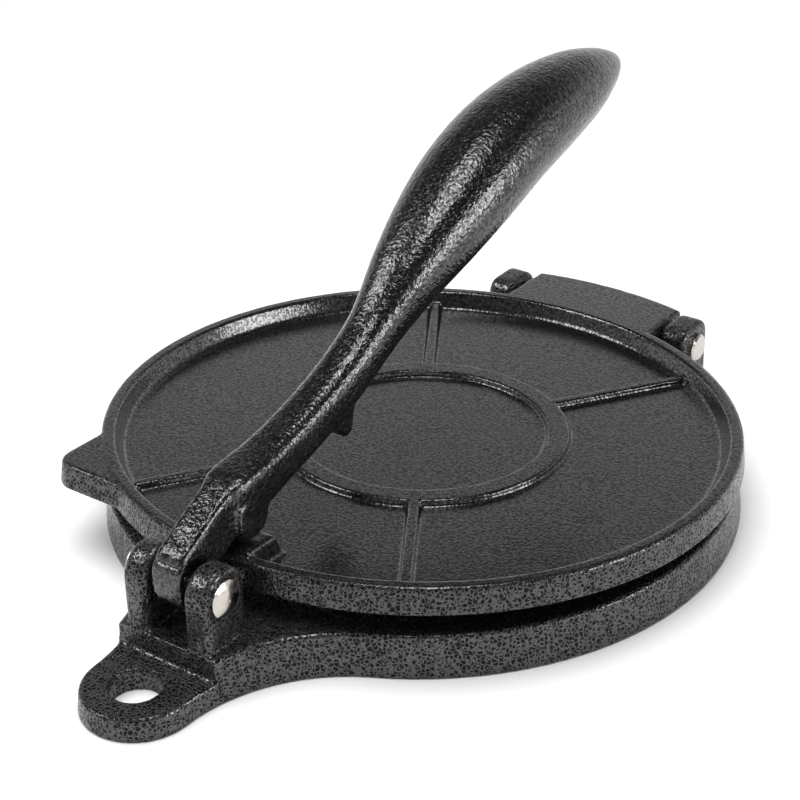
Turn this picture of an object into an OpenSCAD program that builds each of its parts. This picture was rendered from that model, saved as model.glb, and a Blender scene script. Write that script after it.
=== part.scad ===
// Hinged plate press for flatbread dough: a round base on the table, a ribbed lid hinged
// at the back, and a cranked lever at the front whose cam pushes the lid down.
// Frame: origin at the middle of the base plate on the table, +Y to the hinge, -Y to the
// lever's clevis and the hanging tongue, +Z up. Millimetres. Stored as in the photograph,
// with the lid a little open and the lever resting on it.

/* [Plates] */
// Radius of the base plate at the table
base_r = 101.6; // [95:0.1:110]
// Height of the base plate
base_h = 14; // [12:0.5:18]
// Thickness of the base's pressing deck
deck_t = 5; // [3.5:0.5:7]
// Width of the base's skirt wall
skirt_w = 5.5; // [4:0.5:8]
// How far the lid's lower edge stands out past the base plate's
lid_over = 0.2; // [-0.5:0.1:1]
// Height of the lid at its rim
lid_h = 8.8; // [8:0.2:12]
// Thickness of the lid's panel
panel_t = 3; // [2.6:0.2:5]
// Width of the flat land on top of the lid's rim
land_w = 2.6; // [2:0.1:4]
// Run of the slope from the land down to the panel
slope_w = 3; // [1.5:0.1:5]
// Gap between the two plates when the press is shut
shut_gap = 0.3; // [0.2:0.1:1]
// Inward draft of a side wall per millimetre of height
draft = 0.085; // [0.02:0.005:0.12]
// Rounding of the plates' upper edges
edge_r = 1.2; // [0.5:0.1:2]
// Radius of the boss under the base plate's middle
boss_r = 9; // [6:0.5:14]
// Depth of the ring and ribs under the base plate's deck
under_h = 1.6; // [0.8:0.2:3]

/* [Ribs] */
// Inner radius of the lid's ring
ring_r = 39.6; // [34:0.2:46]
// Width of the lid's ring
ring_w = 7.5; // [5:0.5:10]
// Width of a lid rib
rib_w = 3.7; // [2.5:0.1:6]
// Height of the ring and the ribs over the panel
rib_h = 2.1; // [1.5:0.1:3.5]
// Angle of a rib from the hinge line's middle
rib_a = 32; // [25:1:45]

/* [Lift tab] */
// How far the lift tab's left side lies inside the lid's leftmost point
tab_left = 25.3; // [20:0.1:30]
// How far the lift tab's front side lies inside the lid's foremost point
tab_front = 12.3; // [8:0.1:16]
// Rounding of the lift tab's corner
tab_round = 8; // [4:0.5:12]
// How far the lift tab stays inside the rim's height, above and below
tab_step = 0.4; // [0.2:0.1:1.5]

/* [Tongue] */
// How far the centre of the tongue's round end lies outside the plate
tongue_out = 34.4; // [28:0.2:46]
// Half width of the tongue
tongue_w = 17.1; // [15:0.1:20]
// Height of the tongue
tongue_h = 7.2; // [5:0.2:10]
// Radius of the hollow flank between plate and tongue
flank_r = 52; // [30:1:80]
// Radius of the hanging hole
hang_r = 7.5; // [5:0.1:9]
// How far the hanging hole lies in front of the round end's centre
hang_off = 1; // [0:0.2:4]
// How far the step in front of the clevis lies outside the plate
step_out = 22.4; // [20:0.2:26]

/* [Lever pivot] */
// How far the lever's pin lies outside the plate
pin_out = 13.8; // [12:0.1:15]
// Height of the lever's pin
pin_z = 29.5; // [27:0.1:33]
// Radius of the lever's pin
pin_r = 3.1; // [2.5:0.1:3.6]
// Width of the clevis slot
slot_w = 13.4; // [12:0.1:16]
// Thickness of a clevis ear
ear_t = 8.5; // [6:0.1:10]
// Depth of a clevis ear along Y
ear_d = 17.4; // [15:0.2:18]
// Height of an ear's round top over its pin
ear_rise = 8.4; // [8:0.2:14]
// Rounding of an ear's edges
ear_round = 2.2; // [1:0.1:3]
// Width of the lever at its eye
eye_w = 10.6; // [9:0.1:12]

/* [Hinge] */
// How far the hinge pin lies outside the plate
hinge_off = 8.4; // [7.6:0.2:12]
// Radius of the hinge pin
hinge_r = 2.8; // [2:0.1:3.5]
// How far the whole hinge is set off to the left of the middle
hinge_set = 1; // [0:0.1:2]
// Half width of the lid's hinge tab
knuckle_w = 29.4; // [24:0.2:32]
// Thickness of a hinge ear
hinge_ear_t = 9.8; // [7:0.1:11]
// Half depth of a hinge ear along Y
hinge_ear_d = 8.8; // [8:0.1:10]
// Height of a hinge ear over its pin
hinge_ear_rise = 8.2; // [7.6:0.1:10]
// Rounding of a hinge ear's top corners, seen from the side
hinge_ear_r = 5; // [3:0.2:8]
// How far the hinge tab's bowed rear edge lies behind its pin
hinge_lap = 14.1; // [11:0.1:16]
// How far the lid stands open, in degrees
lid_open = 2.1; // [1.5:0.1:2.6]

/* [Lever] */
// Half width of the grip at its widest
grip_w = 17; // [14:0.5:20]
// Half height of the grip at its widest
grip_h = 15.2; // [12:0.2:18]
// Half width of the lever's neck
neck_w = 7; // [6:0.1:9]
// Half height of the lever's neck
neck_h = 7.4; // [6.5:0.1:9]
// Half width of the cam lobe
cam_w = 7.2; // [6:0.1:9]
// Height of the lever's end over its pin
grip_rise = 81.6; // [70:0.2:90]
// Reach of the lever's end from its pin
lever_l = 232; // [210:1:250]

/* [Pins] */
// Radius of the lever pin's domed head
head_r = 5.6; // [4.5:0.1:6]
// Height of the lever pin's domed head
head_h = 2.8; // [2:0.1:3.5]
// Height of the straight side below the dome
head_side = 1.3; // [0.8:0.1:1.6]
// Room round a head in its spot face
spot_gap = 0.6; // [0.4:0.1:0.8]
// Depth of the spot face under a head
spot_d = 0.6; // [0.2:0.1:1]
// Radius of the hinge pin's flat head
hinge_head_r = 4.8; // [4:0.1:5.4]
// Height of the hinge pin's flat head
hinge_head_h = 2.2; // [1.5:0.1:3]
// Running clearance round a pin
run = 0.08; // [0.02:0.01:0.1]
// Thickness of a retaining clip
clip_t = 0.9; // [0.6:0.1:1.2]

/* [Hidden] */
$fn = 96;

// Places along Y, all from the plate's edge.
lid_r = base_r + lid_over;
tongue_l = base_r + tongue_out;
step_y = base_r + step_out;
pin_y = base_r + pin_out;
hinge_y = base_r + hinge_off;
hinge_back = hinge_y + hinge_lap;
tab_x = lid_r - tab_left;
tab_y = lid_r - tab_front;

// Lid heights, measured with the lid shut.
lid_z = base_h + shut_gap;
lid_top = lid_z + lid_h;
panel_z = lid_z + panel_t;
land_mid = lid_r - lid_h * draft - edge_r - land_w / 2;
knuckle_r = 7.5;
hinge_z = lid_top - knuckle_r;
hinge_gap = 1.2;
hinge_in = knuckle_w + hinge_gap;
hinge_out = hinge_in + hinge_ear_t;
ear_in = slot_w / 2;
ear_out = ear_in + ear_t;
bottom_r = 0.8;
web_cut = 0.6;
hinge_root = 30;
hang_y = tongue_l + hang_off;
ear_y = pin_y - 0.6;
tab_len = 34;
tab_h = lid_h - 2 * tab_step;
tab_bow = hinge_y + 1;
tab_root = lid_r - 14;
tab_corner = 5;
// How far a pin's tail stands out of its ear, the play under its clip, the groove's depth.
tail = 2.6;
seat = 0.2;
clip_in = 0.8;

// Cam: the lobe's rounding, its underside over the pin with the lever at rest, the pad
// on the lid that it pushes, and the gap left between them.
lobe_r = 6.4;
lobe_u = 24.4;
lobe_top = 15;
lobe_fillet_v = 9.6;
lobe_fillet = 3;
nub_u = pin_y - ring_r - ring_w / 2 - 0.4;
nub_v = 12.9;
nub_r = 2.9;
nub_w = 4.4;
pad_w = 9.6;
pad_y0 = lid_r - 3;
pad_y1 = lid_r - 15.8;
pad_h = 1.6;
cam_gap = 1;
pad_drop = (hinge_y + pin_y - lobe_u) * sin(lid_open);
lobe_v = lid_top + pad_h + pad_drop + cam_gap - pin_z;

// Flank circles that touch the plate and the tongue's round end.
function sq(v) = v * v;
flank_c = base_r + flank_r;
flank_t = tongue_w + flank_r;
flank_y = (sq(flank_t) - sq(flank_c) - sq(tongue_l)) / (2 * tongue_l);
flank_x = sqrt(sq(flank_c) - sq(flank_y));
flank_a = atan2(flank_y, flank_x);
flank_b = atan2(flank_y + tongue_l, flank_x);

// Side profile of a drafted wall with rounded edges: k is -1 for a solid that narrows
// upward and 1 for the hollow flank's cutter, which widens upward.
function wall(r, h, k, e) = concat(
    [for (a = [0:22.5:90]) [r + k * bottom_r * (1 - sin(a)), bottom_r * (1 - cos(a))]],
    [for (a = [0:18:90]) [r + k * (h * draft + e * (1 - cos(a))), h - e + e * sin(a)]]);

module round_slab(r, h, e) {
    rotate_extrude()
        polygon(concat([[0, 0]], wall(r, h, -1, e), [[0, h]]));
}

module flank_cutter(h) {
    rotate_extrude()
        polygon(concat([[0, -1], [flank_r + bottom_r, -1]], wall(flank_r, h, 1, edge_r),
            [[flank_r + h * draft + edge_r, h + 1], [0, h + 1]]));
}

// The web between plate and tongue, with hollow flanks.
module web(h) {
    difference() {
        linear_extrude(h)
            polygon([[0, 0],
                (base_r + 1) * [cos(flank_a - web_cut), sin(flank_a - web_cut)],
                [0, -tongue_l] + (tongue_w + 1) * [cos(flank_b + 3 * web_cut), sin(flank_b + 3 * web_cut)],
                [0, -tongue_l],
                [0, -tongue_l] + (tongue_w + 1) * [-cos(flank_b + 3 * web_cut), sin(flank_b + 3 * web_cut)],
                (base_r + 1) * [-cos(flank_a - web_cut), sin(flank_a - web_cut)]]);
        for (s = [-1, 1])
            translate([s * flank_x, flank_y, 0])
                flank_cutter(h);
    }
}

module rounded(w, d, r) {
    square([w - 2 * r, d], center = true);
    square([w, d - 2 * r], center = true);
    for (x = [-1, 1])
        for (y = [-1, 1])
            translate([x * (w / 2 - r), y * (d / 2 - r)])
                circle(r);
}

// An upright ear along Z with a round top, centred on X and Y, its top's centre at z.
module ear(t, d, z, r) {
    linear_extrude(z)
        rounded(t, d, r);
    translate([0, 0, z])
        rotate([0, 90, 0])
            rotate_extrude()
                intersection() {
                    rotate(90)
                        rounded(t, d, r);
                    translate([0, -t])
                        square([d, 2 * t]);
                }
}

// An upright ear with a flat top, d deep along Y: two narrow ears bridged by a rounded bar.
module block_ear(t, d, z, c, r) {
    for (s = [-1, 1])
        translate([0, s * (d / 2 - c), 0])
            ear(t, 2 * c, z - c, r);
    translate([0, d / 2 - c, 0])
        rotate([90, 0, 0])
            linear_extrude(d - 2 * c) {
                translate([0, z / 2])
                    rounded(t, z, r);
                translate([-t / 2, 0])
                    square([t, z / 2]);
            }
}

module bore(x, y, z, r, l) {
    translate([x, y, z])
        rotate([0, 90, 0])
            cylinder(r = r, h = l, center = true);
}

module base() color([0.16, 0.16, 0.17]) {
    difference() {
        union() {
            round_slab(base_r, base_h, edge_r);
            intersection() {
                web(base_h);
                translate([-base_r, -step_y, 0])
                    cube([2 * base_r, step_y, base_h]);
            }
            intersection() {
                union() {
                    web(tongue_h);
                    translate([0, -tongue_l, 0])
                        round_slab(tongue_w, tongue_h, edge_r);
                }
                translate([-base_r, -2 * step_y, 0])
                    cube([2 * base_r, step_y, base_h]);
            }
            for (s = [-1, 1]) {
                translate([s * (ear_in + ear_t / 2), -ear_y, 0])
                    ear(ear_t, ear_d, pin_z + ear_rise - ear_d / 2, ear_round);
                translate([s * (hinge_in + hinge_ear_t / 2) - hinge_set, hinge_y, 0]) {
                    block_ear(hinge_ear_t, 2 * hinge_ear_d, hinge_z + hinge_ear_rise, hinge_ear_r, ear_round);
                    translate([-hinge_ear_t / 2, -hinge_root, 0])
                        cube([hinge_ear_t, hinge_root, base_h]);
                }
            }
        }
        difference() {
            translate([0, 0, -1])
                cylinder(r = base_r - skirt_w, h = base_h - deck_t + 1);
            underside_ribs();
        }
        translate([0, -hang_y, -1])
            cylinder(r = hang_r, h = tongue_h + 2);
        bore(0, -pin_y, pin_z, pin_r + run, 2 * ear_out + 2);
        bore(-hinge_set, hinge_y, hinge_z, hinge_r + run, 2 * hinge_out + 2);
        bore(ear_out, -pin_y, pin_z, head_r + spot_gap, 2 * spot_d);
        bore(hinge_out - hinge_set, hinge_y, hinge_z, hinge_head_r + spot_gap, 2 * spot_d);
    }
}

// The lid's ring and ribs again under the deck, with a boss that reaches the table.
module underside_ribs() {
    z = base_h - deck_t - under_h;
    translate([0, 0, -2])
        cylinder(r = boss_r, h = base_h);
    translate([0, 0, z])
        difference() {
            cylinder(r = ring_r + ring_w, h = base_h);
            translate([0, 0, -1])
                cylinder(r = ring_r, h = base_h + 2);
        }
    for (a = [rib_a, -rib_a, 180 + rib_a, 180 - rib_a])
        rotate(90 + a)
            translate([ring_r + 1, -rib_w / 2, z])
                cube([base_r, rib_w, base_h]);
}

module lid() color([0.18, 0.18, 0.19]) {
    translate([0, hinge_y, hinge_z])
        rotate([-lid_open, 0, 0])
            translate([0, -hinge_y, -hinge_z])
                lid_shut();
}

module lid_shut() {
    difference() {
        union() {
            translate([0, 0, lid_z])
                lid_dish();
            lift_tab();
            translate([-hinge_set, 0, 0])
                hinge_tab();
            pad();
        }
        bore(0, hinge_y, hinge_z, hinge_r + run, 2 * hinge_out);
    }
}

// The lid's disc, with its rim, slope, panel and ring in one revolved profile.
module lid_dish() {
    in_r = lid_r - lid_h * draft - edge_r - land_w;
    rotate_extrude()
        polygon(concat([[0, 0]], wall(lid_r, lid_h, -1, edge_r), [
            [in_r, lid_h], [in_r - 0.5, lid_h - 0.3],
            [in_r - slope_w + 0.6, panel_t + 1.2], [in_r - slope_w, panel_t + 0.4],
            [in_r - slope_w - 1, panel_t],
            [ring_r + ring_w + 0.5, panel_t], [ring_r + ring_w, panel_t + 0.4],
            [ring_r + ring_w - 0.4, panel_t + rib_h],
            [ring_r + 0.4, panel_t + rib_h],
            [ring_r, panel_t + 0.4], [ring_r - 0.5, panel_t],
            [0, panel_t]]));
    for (a = [rib_a, -rib_a, 180 + rib_a, 180 - rib_a])
        rotate(90 + a)
            translate([ring_r + ring_w / 2, 0, panel_t])
                rib(in_r - slope_w / 2 - ring_r - ring_w / 2);
}

module rib(l) {
    rotate([90, 0, 90])
        linear_extrude(l)
            polygon([[-rib_w / 2 - 0.4, -1], [rib_w / 2 + 0.4, -1], [rib_w / 2 + 0.4, 0],
                [rib_w / 2, 0.5], [rib_w / 2 - 0.3, rib_h], [-rib_w / 2 + 0.3, rib_h],
                [-rib_w / 2, 0.5], [-rib_w / 2 - 0.4, 0]]);
}

// The lift tab: a rounded square corner that grows out of the rim.
module lift_tab() {
    difference() {
        translate([tab_round - tab_x, tab_round - tab_y, lid_z + tab_step])
            rotate(225) {
                round_slab(tab_round - 0.03, tab_h, edge_r);
                for (s = [0, 1])
                    mirror([0, s, 0])
                        rotate(135)
                            flank_bar(tab_len, tab_round, tab_h);
                rotate(135)
                    linear_extrude(tab_h)
                        square(tab_len);
            }
        translate([0, 0, lid_z - 1])
            cylinder(r = land_mid, h = lid_h + 2);
    }
}

// A straight bar from the origin along +X whose -Y side is a drafted, rounded wall.
module flank_bar(l, r, h) {
    rotate([90, 0, 90])
        linear_extrude(l)
            mirror([1, 0])
                polygon(concat([[-r / 2, 0]], wall(r, h, -1, edge_r), [[-r / 2, h]]));
}

// The hinge tab: level with the rim, with a bowed rear edge and the knuckle below it.
module hinge_tab() {
    depth = hinge_back - 1.5 - tab_root;
    difference() {
        intersection() {
            translate([0, hinge_back - tab_bow, lid_z])
                round_slab(tab_bow, lid_h, edge_r);
            translate([0, 0, lid_z])
                rotate([90, 0, 180])
                    linear_extrude(hinge_back + 1)
                        polygon(concat(wall(knuckle_w + 0.4, lid_h, -1, edge_r),
                            mirrored(wall(knuckle_w + 0.4, lid_h, -1, edge_r))));
            translate([0, tab_root + depth / 2, lid_z - 1])
                linear_extrude(lid_h + 2)
                    rounded(2 * knuckle_w, depth, tab_corner);
        }
        translate([hinge_set, 0, lid_z - 1])
            cylinder(r = land_mid, h = lid_h + 2);
    }
    translate([0, hinge_y, hinge_z])
        rotate([0, 90, 0])
            translate([0, 0, -knuckle_w])
                barrel(knuckle_r, 2 * knuckle_w, 1);
}

function mirrored(p) = [for (i = [len(p) - 1:-1:0]) [-p[i][0], p[i][1]]];

// A round bar along Z with rounded ends.
module barrel(r, l, e) {
    rotate_extrude()
        polygon(concat([[0, 0]],
            [for (a = [0:22.5:90]) [r - e + e * sin(a), e - e * cos(a)]],
            [for (a = [0:22.5:90]) [r - e + e * cos(a), l - e + e * sin(a)]],
            [[0, l]]));
}

// The pad that the lever's cam pushes, over the rim and down its slope.
module pad() {
    top = lid_top + pad_h;
    intersection() {
        rotate([90, 0, 90])
            translate([0, 0, -pad_w - 1])
                linear_extrude(2 * pad_w + 2)
                    polygon([[-pad_y0, lid_z + 2], [-pad_y0, top - 1.8], [-pad_y0 + 0.6, top - 0.6],
                        [-pad_y0 + 1.8, top], [-pad_y1 - 1, top], [-pad_y1, top - 0.5],
                        [-pad_y1 + 2.4, panel_z + 1], [-pad_y1 + 3.4, panel_z], [-pad_y1 + 3.4, lid_z + 2]]);
        rotate([90, 0, 0])
            linear_extrude(lid_r)
                polygon([[-pad_w - 0.8, lid_z], [pad_w + 0.8, lid_z], [pad_w + 0.8, panel_z],
                    [pad_w + 0.2, panel_z + 1], [pad_w, top - 1.4], [pad_w - 0.4, top - 0.4], [pad_w - 1.4, top],
                    [-pad_w + 1.4, top], [-pad_w + 0.4, top - 0.4], [-pad_w, top - 1.4],
                    [-pad_w - 0.2, panel_z + 1], [-pad_w - 0.8, panel_z]]);
    }
}

// Lever stations from the eye to the grip's end: [y, z] of the section's middle from the
// pin, half height, half width, squareness, lean. Everything past the neck follows the
// lever's reach and rise.
eye_e = eye_w / 2;
far = lever_l / 232;
up = grip_rise / 81.6;
STATIONS = [
    [-6.9, 3.2, 4.4, eye_e - 0.8, 5, 0],
    [-6.3, 3.0, 6.2, eye_e, 7, 0],
    [-4.2, 2.6, 8.3, eye_e, 7, 0],
    [0, 3.0, 10, eye_e, 7, 0],
    [4.8, 5.2, 10.4, eye_e, 7, 2],
    [10.2, 9.3, 8.9, eye_e, 7, 5],
    [16.5, 13.1, 8.3, eye_e + 0.1, 6, 8],
    [22, 15.5, 8.2, neck_w + 0.2, 5, 10],
    [28.5, 16.9, 7.8, neck_w + 0.4, 4.5, 11],
    [39, 19, neck_h - 0.2, neck_w + 0.1, 3.8, 12],
    [56 * far, 23.3 * up, neck_h - 0.1, neck_w, 3.2, 16],
    [75 * far, 30.1 * up, neck_h + 0.2, neck_w + 0.2, 2.8, 22],
    [92 * far, 39.3 * up, grip_h * 0.54, grip_w * 0.47, 2.4, 32],
    [107 * far, 49.5 * up, grip_h * 0.71, grip_w * 0.66, 2.25, 32],
    [123 * far, 58.5 * up, grip_h * 0.88, grip_w * 0.85, 2.15, 28],
    [141 * far, 67.2 * up, grip_h, grip_w * 0.98, 2.1, 23],
    [161 * far, 74.6 * up, grip_h, grip_w, 2.1, 16],
    [183 * far, 78.9 * up, grip_h * 0.93, grip_w * 0.93, 2.1, 8],
    [204 * far, 81 * up, grip_h * 0.76, grip_w * 0.75, 2.1, 4],
    [218 * far, grip_rise, grip_h * 0.53, grip_w * 0.52, 2, 1],
    [226 * far, grip_rise, grip_h * 0.33, grip_w * 0.32, 2, 0],
    [230 * far, grip_rise, grip_h * 0.18, grip_w * 0.17, 2, 0],
    [lever_l, grip_rise, grip_h * 0.05, grip_w * 0.05, 2, 0]];
RING = 32;
STEPS = 3;

// Slope of column c at station i, and the curve through the stations at i plus f.
function slope(i, c) =
    let (a = max(i - 1, 0), b = min(i + 1, len(STATIONS) - 1))
    (STATIONS[b][c] - STATIONS[a][c]) / (STATIONS[b][0] - STATIONS[a][0]);
function along(i, f, c) =
    let (d = STATIONS[i + 1][0] - STATIONS[i][0])
    STATIONS[i][c] * (1 - 3 * f * f + 2 * f * f * f) + STATIONS[i + 1][c] * (3 * f * f - 2 * f * f * f)
    + d * slope(i, c) * (f - 2 * f * f + f * f * f) + d * slope(i + 1, c) * (f * f * f - f * f);
function section(i, f) = [for (c = [0:5]) c == 0
    ? STATIONS[i][0] + f * (STATIONS[i + 1][0] - STATIONS[i][0]) : along(i, f, c)];
function power(v, n) = sign(v) * pow(abs(v), n);
function ring(s) = [for (k = [0:RING - 1])
    let (a = 360 * k / RING, x = s[3] * power(cos(a), 2 / s[4]), z = s[2] * power(sin(a), 2 / s[4]))
    [x, s[0] - z * sin(s[5]), s[1] + z * cos(s[5])]];

module loft() {
    sections = concat([for (i = [0:len(STATIONS) - 2]) for (j = [0:STEPS - 1]) section(i, j / STEPS)],
        [STATIONS[len(STATIONS) - 1]]);
    m = len(sections);
    polyhedron(
        points = concat([for (s = sections) each ring(s)],
            [[0, sections[0][0], sections[0][1]], [0, sections[m - 1][0], sections[m - 1][1]]]),
        faces = concat(
            [for (j = [0:m - 2]) for (k = [0:RING - 1])
                let (a = j * RING + k, b = j * RING + (k + 1) % RING) each
                [[a, b, a + RING], [b, b + RING, a + RING]]],
            [for (k = [0:RING - 1]) [m * RING, (k + 1) % RING, k]],
            [for (k = [0:RING - 1]) [m * RING + 1, (m - 1) * RING + k, (m - 1) * RING + (k + 1) % RING]]));
}

// The cam lobe: a blunt nose under the lever, rounded below, filleted into the neck.
module lobe() {
    z = lobe_v + lobe_r;
    translate([0, lobe_u, 0]) {
        translate([0, 0, z])
            rotate([0, 90, 0])
                nose(lobe_r, cam_w);
        translate([0, 0, z])
            linear_extrude(lobe_top - z)
                rounded(2 * cam_w, 2 * lobe_r, 0.9);
        difference() {
            translate([-cam_w + 0.6, lobe_r - 1, lobe_fillet_v])
                cube([2 * cam_w - 1.2, lobe_fillet + 1, lobe_top - lobe_fillet_v]);
            translate([0, lobe_r + lobe_fillet, lobe_fillet_v])
                rotate([0, 90, 0])
                    cylinder(r = lobe_fillet, h = 3 * cam_w, center = true);
        }
    }
}

// A round bar across the lever with softened ends, centred.
module nose(r, w) {
    rotate_extrude()
        polygon([[0, -w], [r - 1, -w], [r - 0.3, 0.3 - w], [r, 1 - w], [r, w - 1],
            [r - 0.3, w - 0.3], [r - 1, w], [0, w]]);
}

// The stop nub under the neck, which meets the lid's ring when the press is shut.
module nub() {
    intersection() {
        rotate([90, 0, 90])
            translate([0, 0, -nub_w])
                linear_extrude(2 * nub_w) {
                    translate([nub_u, nub_v + nub_r])
                        circle(nub_r);
                    polygon([[nub_u - 8.5, nub_v + 13], [nub_u - 8, nub_v + 6.4],
                        [nub_u - nub_r * 0.64, nub_v + nub_r * 0.23], [nub_u + nub_r, nub_v + nub_r],
                        [nub_u + nub_r + 0.6, nub_v + 6], [nub_u + nub_r + 3, nub_v + 13]]);
                }
        translate([0, nub_u - 1.5, nub_v - 1])
            linear_extrude(14)
                rounded(2 * nub_w, 24, 1.6);
    }
}

module lever() color([0.14, 0.14, 0.15]) {
    translate([0, -pin_y, pin_z])
        difference() {
            union() {
                loft();
                lobe();
                nub();
            }
            bore(0, 0, 0, pin_r + run, 3 * eye_w);
        }
}

// A pin along X: shank, retaining groove and chamfered end; its head is added by its user.
module shank(r, x0, x1, groove) {
    difference() {
        translate([x0, 0, 0])
            rotate([0, 90, 0])
                rotate_extrude()
                    polygon([[0, 0], [r - 0.5, 0], [r, 0.5], [r, x1 - x0], [0, x1 - x0]]);
        translate([groove - clip_t - 0.1, 0, 0])
            rotate([0, 90, 0])
                difference() {
                    cylinder(r = r + 1, h = clip_t + 0.2);
                    translate([0, 0, -1])
                        cylinder(r = r - clip_in, h = clip_t + 3);
                }
    }
}

module lever_pin() color([0.78, 0.78, 0.8]) {
    rise = head_h - head_side;
    dome = (head_r * head_r + rise * rise) / (2 * rise);
    translate([0, -pin_y, pin_z]) {
        shank(pin_r, -ear_out - tail, ear_out, -ear_out - seat);
        translate([ear_out - spot_d, 0, 0])
            rotate([0, 90, 0])
                intersection() {
                    cylinder(r = head_r, h = head_h);
                    translate([0, 0, head_h - dome])
                        sphere(dome);
                }
    }
}

module hinge_pin() color([0.78, 0.78, 0.8]) {
    translate([-hinge_set, hinge_y, hinge_z]) {
        shank(hinge_r, -hinge_out - tail, hinge_out, -hinge_out - seat);
        translate([hinge_out - spot_d, 0, 0])
            rotate([0, 90, 0])
                rotate_extrude()
                    polygon([[0, 0], [hinge_head_r, 0], [hinge_head_r, hinge_head_h - 0.6],
                        [hinge_head_r - 0.6, hinge_head_h], [0, hinge_head_h]]);
    }
}

// A snap ring for a pin's groove: an open ring with three inner lobes.
module clip(r) {
    rotate([90, 0, 90])
        linear_extrude(clip_t)
            difference() {
                union() {
                    difference() {
                        circle(r + 2.3);
                        circle(r + 0.7);
                    }
                    for (a = [90, 205, 335])
                        rotate(a)
                            translate([r - clip_in + 0.8, -1])
                                square([2.2, 2]);
                }
                circle(r - clip_in + 0.03);
                translate([-1.9, -r - 4])
                    square([3.8, r + 4]);
            }
}

module lever_clip() color([0.7, 0.7, 0.72]) {
    translate([-ear_out - seat - clip_t, -pin_y, pin_z])
        clip(pin_r);
}

module hinge_clip() color([0.7, 0.7, 0.72]) {
    translate([-hinge_out - hinge_set - seat - clip_t, hinge_y, hinge_z])
        clip(hinge_r);
}

base();
lid();
lever();
lever_pin();
lever_clip();
hinge_pin();
hinge_clip();
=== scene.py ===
"""Looks of a cast-iron tortilla press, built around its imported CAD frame.

The castings are the CAD solids themselves, remeshed and softened so that their edges and
inner corners are rounded as in enamelled iron. The pins and clips stay the CAD meshes.
"""

import math

import bpy
from mathutils import Matrix, Vector


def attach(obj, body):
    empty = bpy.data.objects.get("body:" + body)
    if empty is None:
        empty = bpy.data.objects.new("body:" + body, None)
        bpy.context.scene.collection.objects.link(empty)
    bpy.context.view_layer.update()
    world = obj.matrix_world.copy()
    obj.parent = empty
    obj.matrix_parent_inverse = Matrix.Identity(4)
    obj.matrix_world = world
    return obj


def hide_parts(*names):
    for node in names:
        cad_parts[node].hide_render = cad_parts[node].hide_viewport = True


MM = 0.001

# The photograph's camera, fitted to the press: where it stands round the frame's origin,
# where the origin falls in the 800 x 800 image, and the focal length in its pixels.
CAM_AZIMUTH = 36.06
CAM_ELEVATION = 28.95
CAM_ROLL = 1.21
CAM_DEPTH = 0.646
CAM_NEAR = 10 * MM
IMAGE_SIDE = 800
ORIGIN_PX = (422.75, 489.67)
FOCAL_PX = 1996
SENSOR = 36

# How each casting's CAD mesh is softened: the remesh's voxel, the smoothing passes after it,
# and the share of its faces that is kept. Points nearer than WELD are joined first, and a
# pass moves each point by the share SMOOTHING towards its neighbours' middle.
CASTINGS = {
    "base": {"voxel": 0.5 * MM, "passes": 3, "kept": 0.4},
    "lid": {"voxel": 0.45 * MM, "passes": 3, "kept": 0.4},
    "lever": {"voxel": 0.5 * MM, "passes": 14, "kept": 0.6},
}
WELD = 0.002 * MM
SMOOTHING = 0.5

# The lever's front end: its foremost y, the fall of its top line in degrees, and the
# radius and middle height of the round that joins the two.
EYE_FRONT = -122.3 * MM
EYE_SLOPE = 28.9
EYE_ROUND = 10.2 * MM
EYE_ROUND_Z = 32.7 * MM

# Each casting's enamel: the size of its cells, the greys of the web, of the pits and of calm
# skin, the web's roughness, how calm its flanks and its level faces are, and the size of its
# orange peel and its height in RELIEF. The lid's dish, within calm_radius, is calm all over.
ENAMELS = {
    "base": {"cell": 1.3 * MM, "light": 0.022, "dark": 0.002, "flat": 0.01, "rough": 0.18,
             "side_calm": 0.0, "level_calm": 0.0, "peel_size": 0.9 * MM, "peel_height": 0.06},
    "lid": {"cell": 1.3 * MM, "light": 0.01, "dark": 0.002, "flat": 0.008, "rough": 0.18,
            "side_calm": 0.0, "level_calm": 0.95, "peel_size": 0.9 * MM, "peel_height": 0.09,
            "calm_radius": 99.5 * MM},
    "lever": {"cell": 1.4 * MM, "light": 0.008, "dark": 0.002, "flat": 0.006, "rough": 0.15,
              "side_calm": 0.6, "level_calm": 0.5, "peel_size": 1.3 * MM, "peel_height": 0.24},
}

# What the enamels share. Sizes of the noises that bend the cells' edges, vary the pits' width
# from patch to patch and grain the surface, and how far the edges are bent.
BEND_SIZE = 0.9 * MM
BEND_REACH = 1.2 * MM
PATCH_SIZE = 2.6 * MM
PATCH_SWING = 0.3
GRAIN_SIZE = 0.55 * MM
# Cosines of a face's tilt between which it turns from flank to level face.
LEVEL_FROM, LEVEL_TO = 0.9, 0.985
# Distance from a cell's edge, as a share of the cell, over which the web falls to the pit.
PIT_EDGE = (0.07, 0.2)
# How calm the dish is, and the width over which that ends at calm_radius.
DISH_CALM = 0.95
DISH_FADE = 0.5 * MM
# Tones of the web and of calm skin, as shares of their greys, and the parts of the grain's
# and the peel's range that are stretched over them.
WEB_TONES = (0.5, 1.4)
WEB_WARMTH = 0.01
SKIN_TONES = (0.4, 1.6)
GRAIN_TONE_SPAN = (0.32, 0.68)
PEEL_TONE_SPAN = (0.35, 0.65)
# Heights of the web over the pits and of the grain, in RELIEF.
WEB_HEIGHT = 0.07
GRAIN_HEIGHT = 0.012
RELIEF = 1 * MM
# Specular level: what the grain gives, what the peel adds to calm skin or takes from it, what
# a pit takes, and the least that stays.
GRAIN_GLOSS = (0.7, 1.1)
GRAIN_GLOSS_SPAN = (0.3, 0.7)
PEEL_GLOSS = (-0.45, 0.45)
PEEL_GLOSS_SPAN = (0.36, 0.64)
PIT_DULL = 0.8
LEAST_GLOSS = 0.1
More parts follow.
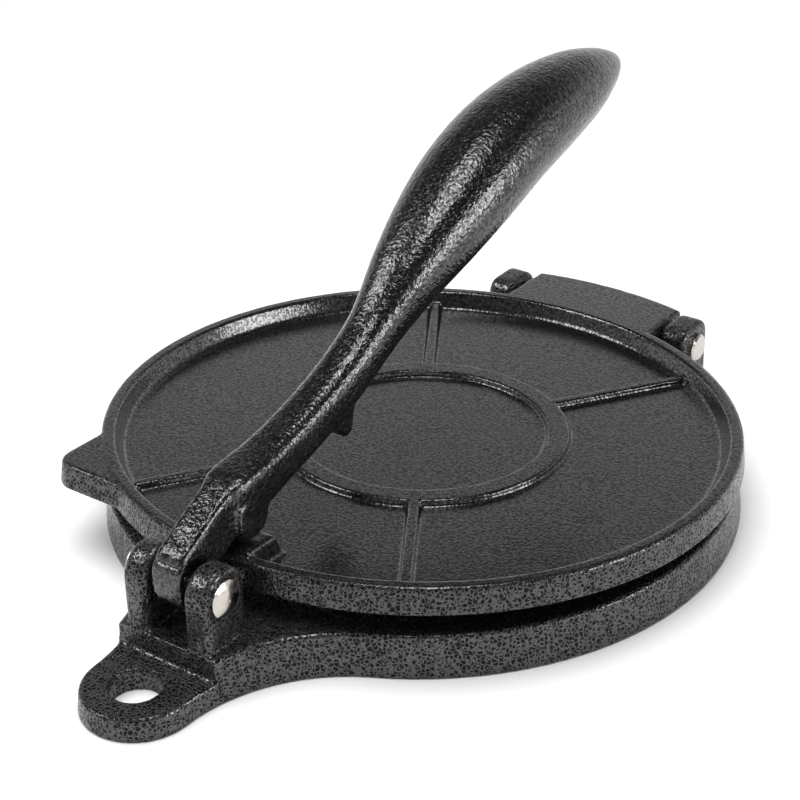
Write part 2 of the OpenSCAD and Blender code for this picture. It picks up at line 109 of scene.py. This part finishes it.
# A pit is so many times as rough as the web, up to a limit, between these depths.
PIT_ROUGHER = 1.8
MOST_ROUGH = 0.7
PIT_ROUGH_SPAN = (0.1, 0.9)
ENAMEL_IOR = 1.5

# Steels: tint, roughness and the pieces made of them.
STEELS = {
    "plated_steel": ((0.6, 0.565, 0.52), 0.14, ("lever_pin", "hinge_pin")),
    "spring_steel": ((0.55, 0.55, 0.56), 0.32, ("lever_clip", "hinge_clip")),
}
# Their fine marks run along x: width, stretch, height and strength of the bump.
MARK_SIZE = 0.22 * MM
MARK_STRETCH = (0.15, 1.0, 1.0)
MARK_HEIGHT = 0.05 * MM
MARK_STRENGTH = 0.12
# Their dull spots: size, tone and the range of roughness, as shares of the steel's own.
SPOT_SIZE = 1.7 * MM
SPOT_TONE = 0.86
SPOT_TONE_SPAN = (0.35, 0.7)
SPOT_ROUGH = (0.8, 1.3)
SPOT_ROUGH_SPAN = (0.3, 0.7)

# The floor: its side in metres, its grey, and the distances from the press between which it
# turns from a lit surface into plain white.
FLOOR_SIDE = 8
FLOOR_GREY = 0.92
FLOOR_FADE = (0.25, 0.55)
# The room is white up to the skyline and fades above it. Both are sines of the height.
SKYLINE = 0.2
SKYLINE_FADE = 0.1
# Above, it darkens between two sines of the height, and brightens from the front to the rear
# between two values of the direction's y.
ROOM_HEIGHTS = (0.25, 0.75)
ROOM_LOW, ROOM_OVERHEAD = 1.0, 0.07
ROOM_DEPTHS = (-0.1, 0.7)
ROOM_FRONT, ROOM_REAR = 0.25, 0.75

# Lamps: place, size and watts. The fill lights surfaces and shows in none of them. The others
# show in the enamel and light nothing else.
LAMPS_AIM = (0, 0, 0.03)
FILL = ((-0.15, -0.1, 1.3), (1.6, 1.6), 34)
HIGHLIGHTS = {
    "overhead": ((0.12, -0.1, 1.3), (0.5, 0.7), 8.0),
    "right_box": ((1.18, 0.28, 0.34), (0.7, 0.56), 9.0),
    "left_box": ((-0.7, -0.65, 0.95), (0.7, 0.6), 9.0),
}


class Tree:
    """A material's or world's node tree, with one short call for a linked node."""

    def __init__(self, owner):
        owner.use_nodes = True
        self.nodes = owner.node_tree.nodes
        self.links = owner.node_tree.links
        self.nodes.clear()

    def join(self, value, socket):
        """Links value to the socket, or sets it there if it is a plain value."""
        if isinstance(value, bpy.types.NodeSocket):
            self.links.new(value, socket)
        else:
            socket.default_value = value

    def add(self, kind, inputs=None, **props):
        node = self.nodes.new(kind)
        for key, value in props.items():
            setattr(node, key, value)
        for key, value in (inputs or {}).items():
            self.join(value, node.inputs[key])
        return node

    def math(self, operation, a, b=0.0, clamp=False):
        node = self.add("ShaderNodeMath", {0: a, 1: b}, operation=operation, use_clamp=clamp)
        return node.outputs[0]

    def vector(self, operation, a, b):
        return self.add("ShaderNodeVectorMath", {0: a, 1: b}, operation=operation).outputs[0]

    def length(self, vector):
        node = self.add("ShaderNodeVectorMath", {0: vector}, operation="LENGTH")
        return node.outputs["Value"]

    def remap(self, value, low, high, to_low=0.0, to_high=1.0):
        node = self.add("ShaderNodeMapRange", {
            "Value": value, "From Min": low, "From Max": high,
            "To Min": to_low, "To Max": to_high}, interpolation_type="SMOOTHSTEP")
        return node.outputs["Result"]

    def noise(self, where, size, detail=1.0):
        return self.add("ShaderNodeTexNoise", {
            "Vector": where, "Scale": 1 / size, "Detail": detail, "Roughness": 0.5}).outputs

    def blend(self, factor, a, b):
        node = self.add("ShaderNodeMix", data_type="RGBA")
        for key, value in (("Factor_Float", factor), ("A_Color", a), ("B_Color", b)):
            self.join(value, next(s for s in node.inputs if s.identifier == key))
        return next(s for s in node.outputs if s.identifier == "Result_Color")


def grey(value, warmth=0.0):
    return (value * (1 + warmth), value, value * (1 - warmth), 1.0)


def calmness(tree, coords, side_calm, level_calm, calm_radius):
    """How calm the enamel is: flanks and level faces apart, and all within calm_radius."""
    normal = tree.add("ShaderNodeSeparateXYZ", {"Vector": coords["Normal"]})
    level = tree.remap(tree.math("ABSOLUTE", normal.outputs["Z"]), LEVEL_FROM, LEVEL_TO)
    calm = tree.math("ADD", tree.math("MULTIPLY", level, level_calm - side_calm), side_calm)
    if calm_radius:
        radius = tree.length(tree.vector("MULTIPLY", coords["Object"], (1, 1, 0)))
        dish = tree.remap(radius, calm_radius - DISH_FADE, calm_radius, DISH_CALM, 0.0)
        calm = tree.math("MAXIMUM", calm, dish)
    return calm


def pitting(tree, spot, cell):
    """0 on the web between the cells, 1 in the pit inside each cell."""
    bend = tree.vector("SUBTRACT", tree.noise(spot, BEND_SIZE)["Color"], (0.5, 0.5, 0.5))
    shift = tree.add("ShaderNodeVectorMath", {0: bend, "Scale": BEND_REACH}, operation="SCALE")
    cells = tree.add("ShaderNodeTexVoronoi", {
        "Vector": tree.vector("ADD", spot, shift.outputs[0]), "Scale": 1 / cell,
        "Randomness": 0.9}, feature="DISTANCE_TO_EDGE")
    patch = tree.math("SUBTRACT", tree.noise(spot, PATCH_SIZE)["Fac"], 0.5)
    uneven = tree.math("MULTIPLY", patch, PATCH_SWING)
    return tree.remap(tree.math("ADD", cells.outputs["Distance"], uneven), *PIT_EDGE)


def hammertone(name, cell, light, dark, flat, rough, side_calm, level_calm, peel_size,
               peel_height, calm_radius=None):
    """Hammered enamel: a glossy web round small dull pits.

    Calm surfaces have fewer pits and show the enamel's fine orange peel instead, because
    there the enamel flowed out.
    """
    material = bpy.data.materials.new(name)
    tree = Tree(material)
    coords = tree.add("ShaderNodeTexCoord").outputs
    spot = coords["Object"]
    calm = calmness(tree, coords, side_calm, level_calm, calm_radius)
    pits = tree.math("MULTIPLY", pitting(tree, spot, cell), tree.math("SUBTRACT", 1.0, calm))
    peel = tree.noise(spot, peel_size)["Fac"]
    grain = tree.noise(spot, GRAIN_SIZE)["Fac"]

    web = tree.blend(tree.remap(grain, *GRAIN_TONE_SPAN),
                     grey(light * WEB_TONES[0]), grey(light * WEB_TONES[1], WEB_WARMTH))
    skin = tree.blend(tree.remap(peel, *PEEL_TONE_SPAN),
                      grey(flat * SKIN_TONES[0]), grey(flat * SKIN_TONES[1]))
    colour = tree.blend(pits, tree.blend(calm, web, skin), grey(dark))

    ridges = tree.math("MULTIPLY", tree.math("SUBTRACT", 1.0, pits), WEB_HEIGHT)
    waves = tree.math("MULTIPLY", peel, peel_height)
    fine = tree.math("MULTIPLY", grain, GRAIN_HEIGHT)
    height = tree.math("ADD", tree.math("ADD", ridges, waves), fine)
    relief = tree.add("ShaderNodeBump", {"Height": height, "Strength": 1.0, "Distance": RELIEF})

    mottle = tree.math("MULTIPLY", tree.remap(peel, *PEEL_GLOSS_SPAN, *PEEL_GLOSS), calm)
    sheen = tree.math("ADD", tree.remap(grain, *GRAIN_GLOSS_SPAN, *GRAIN_GLOSS), mottle)
    gloss = tree.math("SUBTRACT", sheen, tree.math("MULTIPLY", pits, PIT_DULL))
    pit_rough = min(rough * PIT_ROUGHER, MOST_ROUGH)
    shader = tree.add("ShaderNodeBsdfPrincipled", {
        "Base Color": colour, "Normal": relief.outputs["Normal"], "IOR": ENAMEL_IOR,
        "Roughness": tree.remap(pits, *PIT_ROUGH_SPAN, rough, pit_rough),
        "Specular IOR Level": tree.math("MAXIMUM", LEAST_GLOSS, gloss)})
    tree.add("ShaderNodeOutputMaterial", {"Surface": shader.outputs["BSDF"]})
    return material


def bright_steel(name, tint, rough):
    """Plated steel with fine turning marks and a few dull spots."""
    material = bpy.data.materials.new(name)
    tree = Tree(material)
    spot = tree.add("ShaderNodeTexCoord").outputs["Object"]
    drawn = tree.add("ShaderNodeMapping", {"Vector": spot, "Scale": MARK_STRETCH})
    marks = tree.noise(drawn.outputs["Vector"], MARK_SIZE, 3.0)["Fac"]
    spots = tree.noise(spot, SPOT_SIZE, 3.0)["Fac"]
    dull = tuple(c * SPOT_TONE for c in tint)
    colour = tree.blend(tree.remap(spots, *SPOT_TONE_SPAN), dull + (1.0,), tint + (1.0,))
    relief = tree.add("ShaderNodeBump", {
        "Height": marks, "Strength": MARK_STRENGTH, "Distance": MARK_HEIGHT})
    roughness = tree.remap(spots, *SPOT_ROUGH_SPAN, *(rough * share for share in SPOT_ROUGH))
    shader = tree.add("ShaderNodeBsdfPrincipled", {
        "Base Color": colour, "Metallic": 1.0, "Normal": relief.outputs["Normal"],
        "Roughness": roughness})
    tree.add("ShaderNodeOutputMaterial", {"Surface": shader.outputs["BSDF"]})
    return material


def softened_copy(node, voxel, passes, kept):
    """The CAD node's mesh as one skin with rounded edges and filled inner corners."""
    piece = bpy.data.objects.new(f"{node}_cast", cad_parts[node].data.copy())
    bpy.context.scene.collection.objects.link(piece)
    weld = piece.modifiers.new("weld", "WELD")
    weld.merge_threshold = WELD
    remesh = piece.modifiers.new("remesh", "REMESH")
    remesh.mode = "VOXEL"
    remesh.voxel_size = voxel
    remesh.use_smooth_shade = True
    smooth = piece.modifiers.new("smooth", "SMOOTH")
    smooth.factor = SMOOTHING
    smooth.iterations = passes
    thin = piece.modifiers.new("thin", "DECIMATE")
    thin.ratio = kept
    shown = piece.evaluated_get(bpy.context.evaluated_depsgraph_get())
    skin = bpy.data.meshes.new_from_object(shown)
    piece.modifiers.clear()
    piece.data = skin
    skin.name = piece.name
    skin.materials.clear()
    return piece


def round_eye(piece):
    """Rounds the blunt corner where the lever's top runs down to its front, above the eye."""
    fan = math.pi / 2 - math.radians(EYE_SLOPE)
    middle_y, middle_z = EYE_FRONT + EYE_ROUND, EYE_ROUND_Z
    for vertex in piece.data.vertices:
        across, up = vertex.co.y - middle_y, vertex.co.z - middle_z
        turn = math.atan2(up, -across)
        if 0 < turn < fan:
            corner = min(turn, fan - turn)
            vertex.co.y = middle_y + across * math.cos(corner)
            vertex.co.z = middle_z + up * math.cos(corner)


def dress():
    """Gives each CAD node its looks: softened enamelled castings, and steel pins and clips."""
    for node, softening in CASTINGS.items():
        piece = softened_copy(node, **softening)
        if node == "lever":
            round_eye(piece)
        piece.data.materials.append(hammertone(f"hammertone_{node}", **ENAMELS[node]))
        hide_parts(node)
        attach(piece, node)
    for name, (tint, rough, nodes) in STEELS.items():
        steel = bright_steel(name, tint, rough)
        for node in nodes:
            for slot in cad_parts[node].material_slots:
                slot.material = steel


def camera():
    """The photograph's camera. Its axes are turned by azimuth, elevation and roll."""
    azimuth, elevation = math.radians(CAM_AZIMUTH), math.radians(CAM_ELEVATION)
    roll = math.radians(CAM_ROLL)
    back = Vector((math.sin(azimuth) * math.cos(elevation),
                   -math.cos(azimuth) * math.cos(elevation), math.sin(elevation)))
    side = Vector((0, 0, 1)).cross(back).normalized()
    rise = back.cross(side)
    right = side * math.cos(roll) - rise * math.sin(roll)
    up = side * math.sin(roll) + rise * math.cos(roll)
    across = (ORIGIN_PX[0] - IMAGE_SIDE / 2) * CAM_DEPTH / FOCAL_PX
    down = (ORIGIN_PX[1] - IMAGE_SIDE / 2) * CAM_DEPTH / FOCAL_PX
    place = back * CAM_DEPTH - right * across + up * down
    data = bpy.data.cameras.new("camera")
    data.lens = SENSOR * FOCAL_PX / IMAGE_SIDE
    data.sensor_width = SENSOR
    data.clip_start = CAM_NEAR
    view = bpy.data.objects.new("camera", data)
    bpy.context.scene.collection.objects.link(view)
    turn = Matrix((right, up, back)).transposed().to_4x4()
    view.matrix_world = Matrix.Translation(place) @ turn
    bpy.context.scene.camera = view


def white_floor():
    """A lit floor that keeps its shadows round the press.

    Further out it is plain white to the camera and to gloss.
    """
    bpy.ops.mesh.primitive_plane_add(size=FLOOR_SIDE, location=(0, 0, 0))
    floor = bpy.context.object
    floor.name = "floor"
    material = bpy.data.materials.new("floor")
    tree = Tree(material)
    paper = tree.add("ShaderNodeBsdfDiffuse", {"Color": grey(FLOOR_GREY)})
    white = tree.add("ShaderNodeEmission", {"Color": grey(1.0), "Strength": 1.0})
    reach = tree.length(tree.add("ShaderNodeTexCoord").outputs["Object"])
    ray = tree.add("ShaderNodeLightPath").outputs
    seen = tree.math("ADD", ray["Is Camera Ray"], ray["Is Glossy Ray"])
    seen = tree.math("ADD", seen, ray["Is Transmission Ray"], clamp=True)
    plain_white = tree.math("MULTIPLY", seen, tree.remap(reach, *FLOOR_FADE))
    mixed = tree.add("ShaderNodeMixShader", {
        0: plain_white, 1: paper.outputs["BSDF"], 2: white.outputs["Emission"]})
    tree.add("ShaderNodeOutputMaterial", {"Surface": mixed.outputs["Shader"]})
    floor.data.materials.append(material)


def room():
    """White up to the skyline, and above it a pale backdrop behind and a darker front."""
    world = bpy.data.worlds.new("studio")
    bpy.context.scene.world = world
    tree = Tree(world)
    direction = tree.add("ShaderNodeTexCoord").outputs["Generated"]
    axes = tree.add("ShaderNodeSeparateXYZ", {"Vector": direction}).outputs
    by_height = tree.remap(axes["Z"], *ROOM_HEIGHTS, ROOM_LOW, ROOM_OVERHEAD)
    by_depth = tree.remap(axes["Y"], *ROOM_DEPTHS, ROOM_FRONT, ROOM_REAR)
    dome = tree.math("MULTIPLY", by_height, by_depth)
    low = tree.remap(axes["Z"], SKYLINE, SKYLINE + SKYLINE_FADE, 1.0, 0.0)
    dome = tree.math("MAXIMUM", dome, low)
    shade = tree.add("ShaderNodeCombineColor", {"Red": dome, "Green": dome, "Blue": dome})
    light = tree.add("ShaderNodeBackground", {"Color": shade.outputs["Color"], "Strength": 1.0})
    tree.add("ShaderNodeOutputWorld", {"Surface": light.outputs[0]})


def softbox(name, place, size, power):
    """A rectangular lamp, size metres wide and high, that faces the press."""
    data = bpy.data.lights.new(name, "AREA")
    data.shape = "RECTANGLE"
    data.size, data.size_y = size
    data.energy = power
    lamp = bpy.data.objects.new(name, data)
    bpy.context.scene.collection.objects.link(lamp)
    aim = (Vector(LAMPS_AIM) - Vector(place)).to_track_quat("-Z", "Y")
    lamp.matrix_world = Matrix.Translation(place) @ aim.to_matrix().to_4x4()
    return lamp


def lamps():
    softbox("fill", *FILL).visible_glossy = False
    for name, (place, size, power) in HIGHLIGHTS.items():
        softbox(name, place, size, power).visible_diffuse = False


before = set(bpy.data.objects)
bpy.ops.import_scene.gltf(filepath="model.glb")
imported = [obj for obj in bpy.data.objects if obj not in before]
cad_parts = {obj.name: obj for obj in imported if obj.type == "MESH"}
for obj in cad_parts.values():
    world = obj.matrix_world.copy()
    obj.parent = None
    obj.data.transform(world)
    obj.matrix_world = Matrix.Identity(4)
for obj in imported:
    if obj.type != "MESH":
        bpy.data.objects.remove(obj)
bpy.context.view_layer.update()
bpy.context.scene.view_settings.view_transform = "Standard"
dress()
camera()
white_floor()
room()
lamps()
